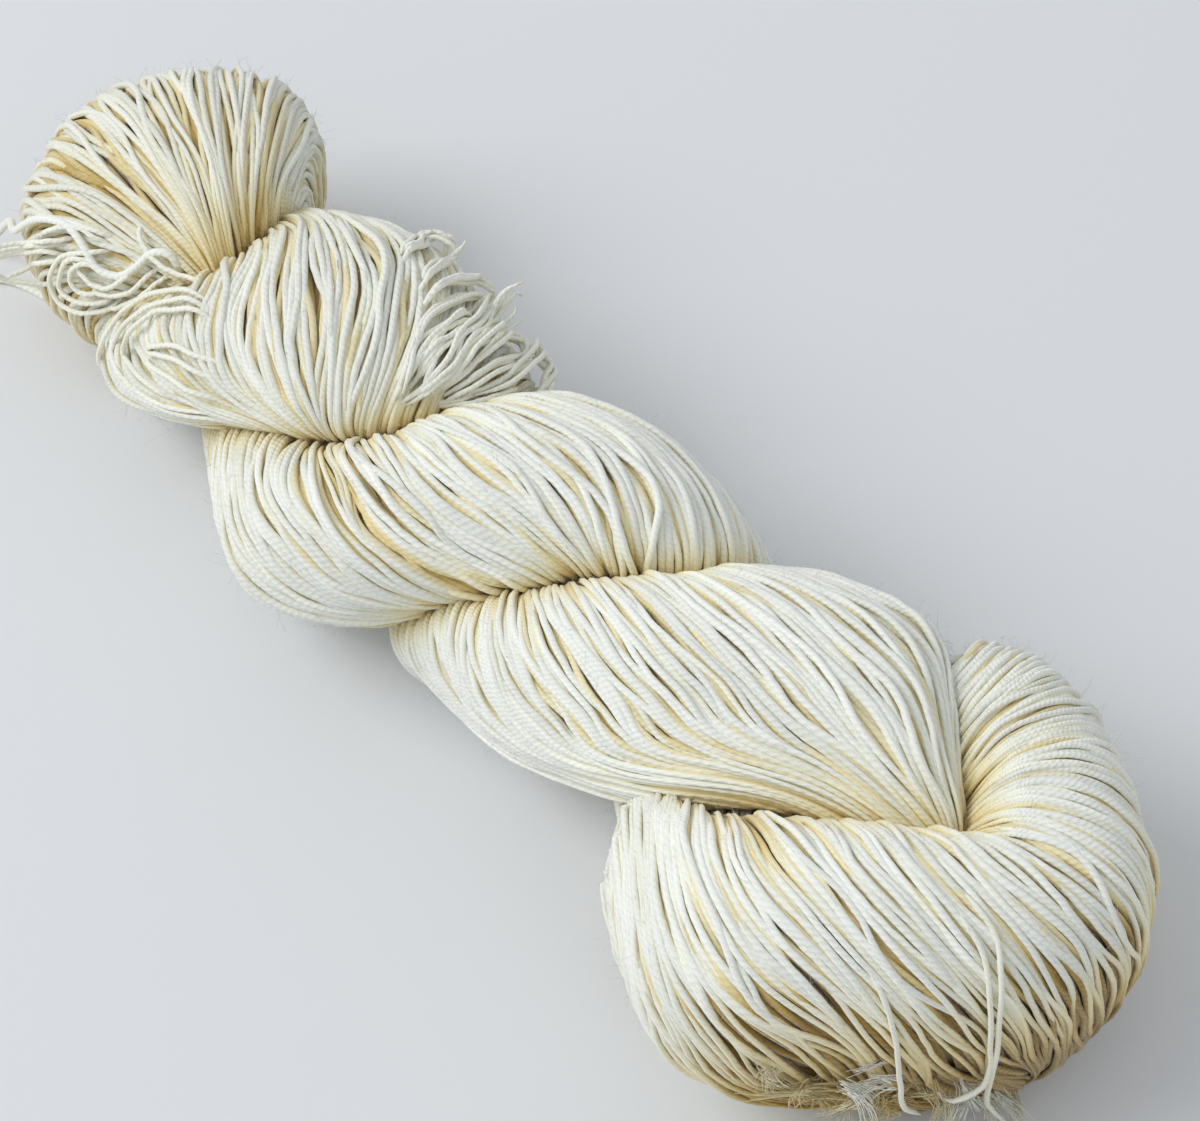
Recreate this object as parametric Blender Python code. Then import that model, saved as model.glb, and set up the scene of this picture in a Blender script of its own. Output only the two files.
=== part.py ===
"""A twisted hank of sock yarn, lying on a table.

A skein of yarn is twisted and folded back on itself, so that its two halves lie round each
other as two fat plies. Each end is a fold, where the strands fan out of a crease, turn over
the end and go back underneath. A length of the same yarn is tied at the far end.

The hank lies along X with its fat end at +X. The tables are in millimetres. A turn is a
quarter turn round the hank, counted from its -Y side over the top.
"""

import math

import bmesh
import bpy
import numpy as np

MM = 0.001

YARN_DIAMETER = 1.75

# The outline's middle, which is put at the origin
OUTLINE_MIDDLE = (0.0, 1.7)

# Turn 0 points this way, in degrees from +Y towards +Z
TURN_START = 201.0
QUARTER = 90.0
WHOLE_TURN = 4.0

# How far the round underside would reach below the table, were it not pressed flat
PRESSED_DEPTH = 1.5
SQUARENESS = 2.2

# A crease's depth as a share of the hank's radius, and the roundness of a ply's back
CREASE_SHARE = 0.52
CREASE_FLOOR = 11.0
ROUNDNESS = 0.42
PLY_LAP = 1.2
PLY_SPINE = 5.0
CORE_RADIUS = 15.0
CORE_ENDS = (-108.0, 112.0)
CORE_SIDES = 14
CORE_RINGS = 12

# Locks of strands stand a little proud of each other
LOCK_HEIGHT = 0.7
LOCK_SPREAD = (0.3, 1.0)
LOCK_STEP = 0.078
LOCK_SEED = 11


def table(names, rows):
    """The columns of a table by name."""
    return dict(zip(names.split(), np.array(rows, dtype=float).T))


BODY = table("x centre_y half_width height", (
    (-120, -5.0, 28.0, 53),
    (-93, -7.0, 31.0, 57),
    (-75, -6.0, 33.0, 61),
    (-60, -5.8, 35.3, 62),
    (-35, -10.2, 37.8, 65),
    (-15, -6.5, 37.5, 66),
    (5, -1.0, 35.0, 66),
    (25, 1.0, 34.0, 67),
    (45, 3.0, 34.0, 67),
    (60, 5.0, 37.0, 66),
    (79, 6.0, 42.0, 65),
    (100, 3.0, 43.0, 63),
    (120, 3.0, 40.0, 60),
))

# Where each crease crosses the hank, by turn
CREASE_ONE = table("turn x", (
    (-2.0, -134), (-1.0, -124), (-0.5, -119), (0.0, -112), (0.5, -98), (1.0, -87),
    (1.5, -88), (2.0, -95), (2.5, -78), (3.0, -52), (3.5, -28), (4.0, -9), (4.5, 3),
    (5.0, 19), (5.5, 33), (6.0, 39), (6.5, 52), (7.0, 70), (7.5, 84), (8.0, 96), (9.0, 108),
))
CREASE_TWO = table("turn x", (
    (-2.0, -110), (-1.5, -104), (-1.0, -97), (-0.5, -86), (0.0, -75), (0.5, -56),
    (1.0, -33), (1.5, -26), (2.0, -22), (2.5, -7), (3.0, 12), (3.5, 31), (4.0, 48),
    (4.5, 67), (5.0, 91), (5.5, 107), (6.0, 82), (6.5, 82), (7.0, 92), (7.5, 98),
))
PLY_TURNS = {"one": (-1.2, 4.7), "two": (-1.2, 7.2)}

# How far the strands lean round the hank as they cross a ply's back, in turns
LEAN = {
    "one": table("turn lean", (
        (-2.0, 0.0), (0.0, 0.2), (0.5, 0.05), (1.0, -0.25), (1.5, -0.35), (2.0, -0.3), (3.0, 0.0),
        (4.0, 0.3), (5.0, 0.0),
    )),
    "two": table("turn lean", (
        (-2.0, 0.3), (0.0, 0.4), (0.5, 0.1), (1.0, -0.4), (1.5, -0.55), (2.0, -0.6), (3.0, -0.1),
        (4.0, 0.35), (4.5, 0.2), (5.0, 0.1), (5.5, 0.0), (6.0, -0.4), (7.0, -0.2), (8.0, 0.0),
    )),
}

# Where a ply's back splits into two bundles
SPLITS = {
    "one": table("turn depth", ((0.80, 3.2),)),
    "two": table("turn depth", ((0.45, 2.6), (4.75, 1.4))),
}
SPLIT_WIDTH = 0.07
PLY_TAPER = 0.6
PLY_END_SHARE = 0.6
PLY_POINTS = 14

# The fold at the near end, from the -Y side round the end to the +Y side
NEAR_FOLD = table("crease_x crease_y crease_z rim_x rim_y rim_z top", (
    (52, -17, 30, 63, -38, 26, 40),
    (58, -17, 35, 78, -46, 27, 50),
    (64, -17, 39, 93, -50, 28, 58),
    (70, -16, 42, 108, -45, 28, 63),
    (76, -13, 45, 121, -31, 28, 66),
    (84, -7, 47, 131, -20, 28, 67),
    (92, 1, 48, 139, -7, 29, 66),
    (99, 7, 48, 144, 6, 30, 65),
    (104, 11, 47, 145, 20, 31, 64),
    (105, 13, 47, 139, 33, 32, 64),
    (104, 14, 46, 126, 43, 34, 64),
    (101, 16, 45, 110, 50, 36, 63),
    (95, 19, 44, 96, 53, 37, 60),
    (89, 23, 41, 86, 52, 38, 57),
    (82, 27, 38, 78, 48, 38, 53),
))
NEAR_FOOT = {"x": 108.0, "reach": 28.0, "y_from": -18.0, "y_to": 10.0, "z": -1.5, "rise": 4.0}
NEAR_GRID = (44, 17)

# The fold at the far end, from the +Y side round the end to the -Y side
FAR_FOLD = table("crease_x crease_y crease_z rim_x rim_y rim_z top", (
    (-88, 9, 35, -96, 18, 31, 43),
    (-88, 5, 39, -104, 28, 32, 51),
    (-86, 0, 43, -116, 31, 32, 56),
    (-85, -5, 45, -127, 26, 32, 58),
    (-84, -9, 45, -135, 18, 31, 59),
    (-83, -12, 45, -141, 8, 30, 58),
    (-83, -14, 45, -145, -3, 29, 56),
    (-83, -15, 45, -145, -13, 27, 52),
    (-84, -16, 44, -141, -24, 24, 47),
    (-86, -17, 41, -133, -31, 22, 42),
    (-89, -19, 37, -121, -34, 20, 36),
    (-94, -20, 32, -110, -32, 18, 30),
    (-98, -20, 24, -104, -27, 17, 25),
))
FAR_FOOT = {"x": -103.0, "reach": -12.0, "y_from": 8.0, "y_to": -10.0, "z": -1.0, "rise": 1.5}
FAR_GRID = (34, 15)

# How far round the strands of a fold are followed, in degrees above its rim
FOLD_START = 150.0
FOLD_END = -86.0
CROWN_SHARE = 0.36
RIM_FULLNESS = 0.8
UNDER_FULLNESS = 0.9

# The tie lies over the far fold, a little off it, and then on the table
TIE_OVER = table("fan swing lift", (
    (0.67, 112, 4.4), (0.71, 106, 3.6), (0.78, 97, 3.4), (0.83, 87, 3.2), (0.825, 77, 2.8),
    (0.785, 73, 2.8), (0.755, 66, 2.6), (0.752, 56, 2.4), (0.755, 45, 2.4), (0.76, 33, 2.4),
    (0.76, 20, 2.6),
))
TIE_FREE = table("x y z", (
    (-146.5, -27.5, 15.0), (-150.5, -29.0, 7.5), (-154.0, -31.2, 2.4), (-157.2, -34.6, 0.9),
    (-157.4, -38.6, 0.9), (-154.0, -41.2, 0.9), (-150.0, -39.6, 0.9), (-147.0, -35.6, 0.9),
    (-143.0, -32.0, 0.9), (-137.5, -29.6, 0.9), (-132.5, -28.0, 0.9),
))
TIE_LOOP = table("x y z", (
    (-125.1, -13.7, 0.9), (-131.0, -15.6, 0.9), (-136.5, -16.5, 0.9), (-141.5, -17.5, 0.9),
    (-145.5, -20.0, 0.9), (-146.5, -23.5, 0.9), (-143.5, -25.8, 0.9), (-138.5, -25.2, 0.9),
    (-133.0, -23.0, 0.9), (-126.5, -21.6, 0.9),
))
TIE_STEP = 4.0
TIE_SIDES = 2
FINE_STEPS = 40

YARN_COLOUR = (0.80, 0.78, 0.67)
YARN_ROUGHNESS = 0.9

# Length, width and depth in metres
TABLE_BLOCK = (0.4, 0.2, 0.04)


def along(keys, values, places):
    """A smooth curve through the values, read at the places."""
    slopes = np.gradient(values, keys)
    places = np.clip(np.asarray(places, dtype=float), keys[0], keys[-1])
    left = np.clip(np.searchsorted(keys, places, side="right") - 1, 0, len(keys) - 2)
    step = keys[left + 1] - keys[left]
    t = (places - keys[left]) / step
    s = 1 - t
    ends = values[left] * (1 + 2 * t) * s**2 + values[left + 1] * t**2 * (3 - 2 * t)
    return ends + step * (slopes[left] * t * s**2 - slopes[left + 1] * t**2 * s)


def read(columns, key, name, places):
    """One column of a table, read at places along another."""
    return along(columns[key], columns[name], places)


def body_at(x):
    """Centre and half sizes of the whole hank's section at x."""
    height = read(BODY, "x", "height", x)
    centre_z = (height - PRESSED_DEPTH) / 2
    half_height = (height + PRESSED_DEPTH) / 2
    return read(BODY, "x", "centre_y", x), centre_z, read(BODY, "x", "half_width", x), half_height


def body_radius(x, angle):
    """The hank's radius at x, in the direction of the angle."""
    _, _, half_width, half_height = body_at(x)
    wide = np.abs(np.cos(angle) / half_width) ** SQUARENESS
    high = np.abs(np.sin(angle) / half_height) ** SQUARENESS
    return (wide + high) ** (-1 / SQUARENESS)


def creases(ply, turn):
    """The two creases between which a ply shows, at this turn."""
    if ply == "two":
        return read(CREASE_ONE, "turn", "x", turn), read(CREASE_TWO, "turn", "x", turn)
    return read(CREASE_TWO, "turn", "x", turn), read(CREASE_ONE, "turn", "x", turn + WHOLE_TURN)


def polar_point(x, radius, turn):
    """A point at a radius from the hank's middle line."""
    angle = np.radians(TURN_START - QUARTER * turn)
    centre_y, centre_z, _, _ = body_at(x)
    return np.stack([x, centre_y + radius * np.cos(angle), centre_z + radius * np.sin(angle)], -1)


def ply_swell(ply, turn):
    """A ply thins where it runs into a fold, so that its ends lie inside."""
    first, last = PLY_TURNS[ply]
    inside = np.clip(np.minimum(turn - first, last - turn) / PLY_TAPER, 0, 1)
    return PLY_END_SHARE + (1 - PLY_END_SHARE) * np.sin(inside * math.pi / 2)


def ply_back(ply, turn, across, lift=0.0):
    """A point on a ply's back, from the crease before it (0) to the crease after it (1)."""
    start, end = creases(ply, turn)
    x = start - PLY_LAP + across * (end - start + 2 * PLY_LAP)
    outer = body_radius(x, np.radians(TURN_START - QUARTER * turn)) * ply_swell(ply, turn)
    low = np.maximum(outer * CREASE_SHARE, CREASE_FLOOR)
    hump = np.clip(1 - (2 * across - 1) ** 2, 0, 1)
    radius = low + (outer - low) * hump**ROUNDNESS + lift * np.sqrt(hump)
    return polar_point(x, radius, turn)


def uneven(count):
    """How far each lock of strands stands out, ridge after hollow."""
    rng = np.random.default_rng(LOCK_SEED)
    sides = np.where(np.arange(count) % 2, 1, -1)
    return LOCK_HEIGHT * sides * rng.uniform(*LOCK_SPREAD, count)


def split_depth(ply, turn):
    """How deep the strand at this turn lies between two bundles."""
    splits = SPLITS[ply]
    return sum(depth * math.exp(-((turn - place) / SPLIT_WIDTH) ** 2)
               for place, depth in zip(splits["turn"], splits["depth"]))


def ply_sections(ply):
    """Closed sections of a ply, each along its strands."""
    first, last = PLY_TURNS[ply]
    count = int((last - first) / LOCK_STEP)
    across = (1 - np.cos(np.linspace(0, math.pi, PLY_POINTS))) / 2
    sections = []
    for turn, lock in zip(np.linspace(first, last, count), uneven(count)):
        turns = turn + read(LEAN[ply], "turn", "lean", turn) * (across - 0.5)
        back = ply_back(ply, turns, across, lock - split_depth(ply, turn))
        ends = back[[-1, 0], 0]
        spine = polar_point(ends, np.full(2, PLY_SPINE), turns[[-1, 0]])
        sections.append(np.concatenate([back, spine]))
    return sections


def fold_point(fold, foot, fan, swing, lift=0.0):
    """A point on a fold. fan goes round it (0 to 1), swing over it in degrees (0 is the rim)."""
    rows = np.linspace(0, 1, len(fold["top"]))
    crease = np.stack([along(rows, fold["crease_" + axis], fan) for axis in "xyz"], -1)
    rim = np.stack([along(rows, fold["rim_" + axis], fan) for axis in "xyz"], -1)
    outwards = rim[..., :2] - crease[..., :2]
    outwards /= np.linalg.norm(outwards, axis=-1, keepdims=True)
    rim[..., :2] += outwards * np.asarray(lift)[..., None]
    top = along(rows, fold["top"], fan) + lift
    bend = np.sin(math.pi * fan)
    foot_xy = np.stack([foot["x"] + foot["reach"] * bend,
                        foot["y_from"] + (foot["y_to"] - foot["y_from"]) * fan], -1)
    foot_z = foot["z"] + foot["rise"] * bend

    angle = np.radians(swing)
    crown = crease[..., :2] + CROWN_SHARE * (rim[..., :2] - crease[..., :2])
    out = np.abs(np.cos(angle))
    high = np.abs(np.sin(angle))
    start_high = math.sin(math.radians(FOLD_START))
    start_out = -math.cos(math.radians(FOLD_START))

    over_xy = crown + (rim[..., :2] - crown) * (out**RIM_FULLNESS)[..., None]
    over_z = rim[..., 2] + (top - rim[..., 2]) * high**RIM_FULLNESS
    dive_xy = crown + (crease[..., :2] - crown) * (out / start_out)[..., None]
    dive_z = crease[..., 2] + (top - crease[..., 2]) * (high - start_high) / (1 - start_high)
    under_xy = foot_xy + (rim[..., :2] - foot_xy) * (out**UNDER_FULLNESS)[..., None]
    under_z = rim[..., 2] + (foot_z - rim[..., 2]) * high**UNDER_FULLNESS

    diving = swing > 90
    under = swing < 0
    xy = np.where(diving[..., None], dive_xy, np.where(under[..., None], under_xy, over_xy))
    z = np.where(diving, dive_z, np.where(under, under_z, over_z))
    return np.concatenate([xy, z[..., None]], -1)


def fold_rings(fold, foot, grid):
    """Closed rings of a fold, from its crease over its rim to its foot."""
    around, over = grid
    fan = np.linspace(0, 1, around)
    swings = np.linspace(FOLD_START, FOLD_END, over)
    locks = uneven(around)
    return [fold_point(fold, foot, fan, np.full(around, swing), locks) for swing in swings]


def core_rings():
    """The hidden middle, which holds the plies together."""
    angles = np.linspace(0, 2 * math.pi, CORE_SIDES, endpoint=False)
    rings = []
    for x in np.linspace(*CORE_ENDS, CORE_RINGS):
        centre_y, centre_z, _, _ = body_at(x)
        rings.append(np.stack([np.full(CORE_SIDES, x), centre_y + CORE_RADIUS * np.cos(angles),
                               centre_z + CORE_RADIUS * np.sin(angles)], -1))
    return rings


def even_steps(points, step):
    """Points about a step apart, on a smooth curve through the given ones."""
    points = np.asarray(points)
    reach = np.concatenate([[0], np.cumsum(np.linalg.norm(np.diff(points, axis=0), axis=1))])
    fine = np.linspace(0, reach[-1], FINE_STEPS * len(points))
    curve = np.stack([along(reach, points[:, k], fine) for k in range(3)], -1)
    length = np.concatenate([[0], np.cumsum(np.linalg.norm(np.diff(curve, axis=0), axis=1))])
    places = np.linspace(0, length[-1], int(round(length[-1] / step)) + 1)
    return np.stack([np.interp(places, length, curve[:, k]) for k in range(3)], -1)


def strand(name, points, material):
    """A loose strand of the yarn through the points."""
    curve = bpy.data.curves.new(name, "CURVE")
    curve.dimensions = "3D"
    curve.bevel_depth = YARN_DIAMETER / 2 * MM
    curve.bevel_resolution = TIE_SIDES
    curve.use_fill_caps = True
    spline = curve.splines.new("POLY")
    spline.points.add(len(points) - 1)
    for point, place in zip(spline.points, placed(points)):
        point.co = (*place, 1)
    curve.materials.append(material)
    obj = bpy.data.objects.new(name, curve)
    bpy.context.scene.collection.objects.link(obj)
    return obj


def build_tie(material):
    """The tie, and a loose loop of the winding that lies beside it."""
    over = fold_point(FAR_FOLD, FAR_FOOT, TIE_OVER["fan"], TIE_OVER["swing"], TIE_OVER["lift"])
    free = np.stack([TIE_FREE[axis] for axis in "xyz"], -1)
    loop = np.stack([TIE_LOOP[axis] for axis in "xyz"], -1)
    strand("tie", even_steps(np.concatenate([over, free]), TIE_STEP), material)
    strand("tie_loop", even_steps(loop, TIE_STEP), material)


def yarn_material():
    material = bpy.data.materials.new("undyed_yarn")
    material.use_nodes = True
    shader = material.node_tree.nodes["Principled BSDF"]
    shader.inputs["Base Color"].default_value = (*YARN_COLOUR, 1)
    shader.inputs["Roughness"].default_value = YARN_ROUGHNESS
    return material


def placed(points):
    """Table millimetres to metres about the origin."""
    middle = np.array([*OUTLINE_MIDDLE, 0.0])
    return (np.asarray(points) - middle) * MM


def loft(name, rings):
    """A closed solid through rings of equal counts, with capped ends."""
    bm = bmesh.new()
    loops = [[bm.verts.new(point) for point in placed(ring)] for ring in rings]
    count = len(loops[0])
    for lower, upper in zip(loops, loops[1:]):
        for k in range(count):
            after = (k + 1) % count
            bm.faces.new((lower[k], lower[after], upper[after], upper[k]))
    bm.faces.new(loops[0])
    bm.faces.new(loops[-1])
    bmesh.ops.triangulate(bm, faces=[face for face in bm.faces if len(face.verts) > 4])
    bmesh.ops.recalc_face_normals(bm, faces=bm.faces)
    mesh = bpy.data.meshes.new(name)
    bm.to_mesh(mesh)
    bm.free()
    obj = bpy.data.objects.new(name, mesh)
    bpy.context.scene.collection.objects.link(obj)
    return obj


def table_block():
    """The space below the table top, which presses the underside flat."""
    bm = bmesh.new()
    bmesh.ops.create_cube(bm, size=1.0)
    bmesh.ops.scale(bm, vec=TABLE_BLOCK, verts=bm.verts)
    bmesh.ops.translate(bm, vec=(0, 0, -TABLE_BLOCK[2] / 2), verts=bm.verts)
    mesh = bpy.data.meshes.new("table_block")
    bm.to_mesh(mesh)
    bm.free()
    obj = bpy.data.objects.new("table_block", mesh)
    bpy.context.scene.collection.objects.link(obj)
    return obj


def guide(obj):
    """Mark an object as one that only shapes another."""
    obj.hide_render = True
    obj.display_type = "WIRE"
    return obj


def combine(obj, other, operation):
    modifier = obj.modifiers.new(other.name, "BOOLEAN")
    modifier.operation = operation
    modifier.solver = "EXACT"
    modifier.object = guide(other)


def build_hank(material):
    """The wound yarn: two plies, a fold at each end, and a flat underside."""
    hank = loft("hank", ply_sections("two"))
    combine(hank, loft("ply_one", ply_sections("one")), "UNION")
    combine(hank, loft("core", core_rings()), "UNION")
    combine(hank, loft("near_fold", fold_rings(NEAR_FOLD, NEAR_FOOT, NEAR_GRID)), "UNION")
    combine(hank, loft("far_fold", fold_rings(FAR_FOLD, FAR_FOOT, FAR_GRID)), "UNION")
    combine(hank, table_block(), "DIFFERENCE")
    hank.data.materials.append(material)
    return hank


def main():
    for obj in list(bpy.data.objects):
        bpy.data.objects.remove(obj)
    yarn = yarn_material()
    build_hank(yarn)
    build_tie(yarn)


main()
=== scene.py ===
# A twisted hank of sock yarn, lying on a pale table
import math

import bmesh
import bpy
import numpy as np
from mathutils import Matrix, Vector
from mathutils.bvhtree import BVHTree


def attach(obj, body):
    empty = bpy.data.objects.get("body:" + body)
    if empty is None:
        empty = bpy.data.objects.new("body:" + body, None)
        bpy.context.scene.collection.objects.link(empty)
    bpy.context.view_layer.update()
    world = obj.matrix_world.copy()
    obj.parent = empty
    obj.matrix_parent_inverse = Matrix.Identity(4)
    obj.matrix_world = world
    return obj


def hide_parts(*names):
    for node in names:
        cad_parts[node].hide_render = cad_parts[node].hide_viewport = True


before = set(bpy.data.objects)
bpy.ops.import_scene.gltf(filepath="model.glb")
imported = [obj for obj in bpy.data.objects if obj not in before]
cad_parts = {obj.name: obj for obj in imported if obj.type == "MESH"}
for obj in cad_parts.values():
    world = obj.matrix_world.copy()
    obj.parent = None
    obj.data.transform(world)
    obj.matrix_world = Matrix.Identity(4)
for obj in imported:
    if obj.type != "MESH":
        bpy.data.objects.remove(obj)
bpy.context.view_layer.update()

mm = 0.001

# the camera, set to match the picture

view = {
    "azimuth": 49.0,
    "elevation": 60.0,
    "distance": 0.7028,
    "target": (0.009, 0.0068, 0.030),
    "lens": 105.0,
    "sensor": 36.0,
    "nearest": 0.01,
    "size": (1200, 1121),
}


def viewAxes():
    # from the target back to the camera, to the picture's right, and up it
    turned = math.radians(view["azimuth"])
    raised = math.radians(view["elevation"])
    back = Vector((math.sin(turned) * math.cos(raised), -math.cos(turned) * math.cos(raised),
                   math.sin(raised)))
    right = Vector((math.cos(turned), math.sin(turned), 0))
    return back, right, back.cross(right)


def placeCamera():
    back = viewAxes()[0]
    data = bpy.data.cameras.new("camera")
    data.lens = view["lens"]
    data.sensor_width = view["sensor"]
    data.clip_start = view["nearest"]
    camera = bpy.data.objects.new("camera", data)
    camera.location = Vector(view["target"]) + back * view["distance"]
    camera.rotation_euler = back.to_track_quat("Z", "Y").to_euler()
    bpy.context.scene.collection.objects.link(camera)
    bpy.context.scene.camera = camera


placeCamera()
print("camera placed")

# the wound form, in the millimetres of its tables

form = {
    "middle": (0.0, 1.7, 0.0),    # this place is put at the origin
    "turnStart": 201.0,           # turn 0 points this way, in degrees from +Y towards +Z
    "quarter": 90.0,
    "wholeTurn": 4.0,
    "pressed": 1.5,
    "squareness": 2.2,
    "creaseShare": 0.52,
    "creaseFloor": 11.0,
    "roundness": 0.42,
    "plyLap": 1.2,
    "taper": 0.6,
    "endShare": 0.6,
    "foldStart": 150.0,
    "foldEnd": -86.0,
    "crownShare": 0.36,
    "rimFullness": 0.8,
    "underFullness": 0.9,
    "splitWidth": 0.07,
}


def table(names, rows):
    return dict(zip(names.split(), np.array(rows, dtype=float).T))


body = table("x centreY halfWidth height", (
    (-120, -5.0, 28.0, 53), (-93, -7.0, 31.0, 57), (-75, -6.0, 33.0, 61), (-60, -5.8, 35.3, 62),
    (-35, -10.2, 37.8, 65), (-15, -6.5, 37.5, 66), (5, -1.0, 35.0, 66), (25, 1.0, 34.0, 67),
    (45, 3.0, 34.0, 67), (60, 5.0, 37.0, 66), (79, 6.0, 42.0, 65), (100, 3.0, 43.0, 63),
    (120, 3.0, 40.0, 60),
))

# where each crease crosses the hank, by turn
creaseOne = table("turn x", (
    (-2.0, -134), (-1.0, -124), (-0.5, -119), (0.0, -112), (0.5, -98), (1.0, -87),
    (1.5, -88), (2.0, -95), (2.5, -78), (3.0, -52), (3.5, -28), (4.0, -9), (4.5, 3),
    (5.0, 19), (5.5, 33), (6.0, 39), (6.5, 52), (7.0, 70), (7.5, 84), (8.0, 96), (9.0, 108),
))
creaseTwo = table("turn x", (
    (-2.0, -110), (-1.5, -104), (-1.0, -97), (-0.5, -86), (0.0, -75), (0.5, -56),
    (1.0, -33), (1.5, -26), (2.0, -22), (2.5, -7), (3.0, 12), (3.5, 31), (4.0, 48),
    (4.5, 67), (5.0, 91), (5.5, 107), (6.0, 82), (6.5, 82), (7.0, 92), (7.5, 98),
))

plyTurns = {"one": (-1.2, 4.7), "two": (-1.2, 7.2)}
plySplits = {
    "one": table("turn depth", ((0.80, 3.2),)),
    "two": table("turn depth", ((0.45, 2.6), (4.75, 1.4))),
}

folds = {
    "near": {
        # from the -Y side round the end to the +Y side
        "rows": table("creaseX creaseY creaseZ rimX rimY rimZ top", (
            (52, -17, 30, 63, -38, 26, 40), (58, -17, 35, 78, -46, 27, 50),
            (64, -17, 39, 93, -50, 28, 58), (70, -16, 42, 108, -45, 28, 63),
            (76, -13, 45, 121, -31, 28, 66), (84, -7, 47, 131, -20, 28, 67),
            (92, 1, 48, 139, -7, 29, 66), (99, 7, 48, 144, 6, 30, 65),
            (104, 11, 47, 145, 20, 31, 64), (105, 13, 47, 139, 33, 32, 64),
            (104, 14, 46, 126, 43, 34, 64), (101, 16, 45, 110, 50, 36, 63),
            (95, 19, 44, 96, 53, 37, 60), (89, 23, 41, 86, 52, 38, 57),
            (82, 27, 38, 78, 48, 38, 53),
        )),
        "foot": {"x": 108.0, "reach": 28.0, "yFrom": -18.0, "yTo": 10.0, "z": -1.5, "rise": 4.0},
        "reach": (-0.2, 1.12),
        # how far round a strand drifts from the crown to the rim
        "swirl": table("fan drift", (
            (-0.2, 0.16), (0.0, 0.18), (0.1, 0.18), (0.2, 0.14), (0.3, 0.13), (0.4, 0.07),
            (0.5, 0.045), (0.6, -0.01), (0.7, -0.05), (0.8, -0.03), (0.9, 0.0), (1.2, 0.0),
        )),
    },
    "far": {
        # from the +Y side round the end to the -Y side
        "rows": table("creaseX creaseY creaseZ rimX rimY rimZ top", (
            (-88, 9, 35, -96, 18, 31, 43), (-88, 5, 39, -104, 28, 32, 51),
            (-86, 0, 43, -116, 31, 32, 56), (-85, -5, 45, -127, 26, 32, 58),
            (-84, -9, 45, -135, 18, 31, 59), (-83, -12, 45, -141, 8, 30, 58),
            (-83, -14, 45, -145, -3, 29, 56), (-83, -15, 45, -145, -13, 27, 52),
            (-84, -16, 44, -141, -24, 24, 47), (-86, -17, 41, -133, -31, 22, 42),
            (-89, -19, 37, -121, -34, 20, 36), (-94, -20, 32, -110, -32, 18, 30),
            (-98, -20, 24, -104, -27, 17, 25),
        )),
        "foot": {"x": -103.0, "reach": -12.0, "yFrom": 8.0, "yTo": -10.0, "z": -1.0, "rise": 1.5},
        "reach": (-0.12, 1.1),
        "swirl": table("fan drift", ((-0.2, 0.0), (1.2, 0.0))),
    },
}


def along(keys, values, places):
    # a smooth curve through the values, read at the places
    keys = np.asarray(keys, dtype=float)
    values = np.asarray(values, dtype=float)
    slopes = np.gradient(values, keys)
    places = np.clip(np.asarray(places, dtype=float), keys[0], keys[-1])
    left = np.clip(np.searchsorted(keys, places, side="right") - 1, 0, len(keys) - 2)
    step = keys[left + 1] - keys[left]
    t = (places - keys[left]) / step
    s = 1 - t
    ends = values[left] * (1 + 2 * t) * s**2 + values[left + 1] * t**2 * (3 - 2 * t)
    return ends + step * (slopes[left] * t * s**2 - slopes[left + 1] * t**2 * s)


def read(columns, key, name, places):
    return along(columns[key], columns[name], places)


def bodyRadius(x, angle):
    halfHeight = (read(body, "x", "height", x) + form["pressed"]) / 2
    wide = np.abs(np.cos(angle) / read(body, "x", "halfWidth", x)) ** form["squareness"]
    high = np.abs(np.sin(angle) / halfHeight) ** form["squareness"]
    return (wide + high) ** (-1 / form["squareness"])


def creases(ply, turn):
    if ply == "two":
        return read(creaseOne, "turn", "x", turn), read(creaseTwo, "turn", "x", turn)
    after = read(creaseOne, "turn", "x", turn + form["wholeTurn"])
    return read(creaseTwo, "turn", "x", turn), after


def plyHump(across):
    return np.clip(1 - (2 * across - 1) ** 2, 0, 1)


def plyPoint(ply, turn, across):
    # a point on a ply's back, from the crease before it (0) to the crease after it (1)
    start, end = creases(ply, turn)
    lap = form["plyLap"]
    x = start - lap + across * (end - start + 2 * lap)
    angle = np.radians(form["turnStart"] - form["quarter"] * turn)
    first, last = plyTurns[ply]
    inside = np.clip(np.minimum(turn - first, last - turn) / form["taper"], 0, 1)
    swell = form["endShare"] + (1 - form["endShare"]) * np.sin(inside * math.pi / 2)
    outer = bodyRadius(x, angle) * swell
    low = np.maximum(outer * form["creaseShare"], form["creaseFloor"])
    hump = plyHump(across)
    radius = low + (outer - low) * hump ** form["roundness"]
    for place, depth in zip(plySplits[ply]["turn"], plySplits[ply]["depth"]):
        radius = radius - depth * np.exp(-((turn - place) / form["splitWidth"]) ** 2) * np.sqrt(hump)
    centreZ = (read(body, "x", "height", x) - form["pressed"]) / 2
    y = read(body, "x", "centreY", x) + radius * np.cos(angle)
    return np.stack([x, y, centreZ + radius * np.sin(angle)], -1)


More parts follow.
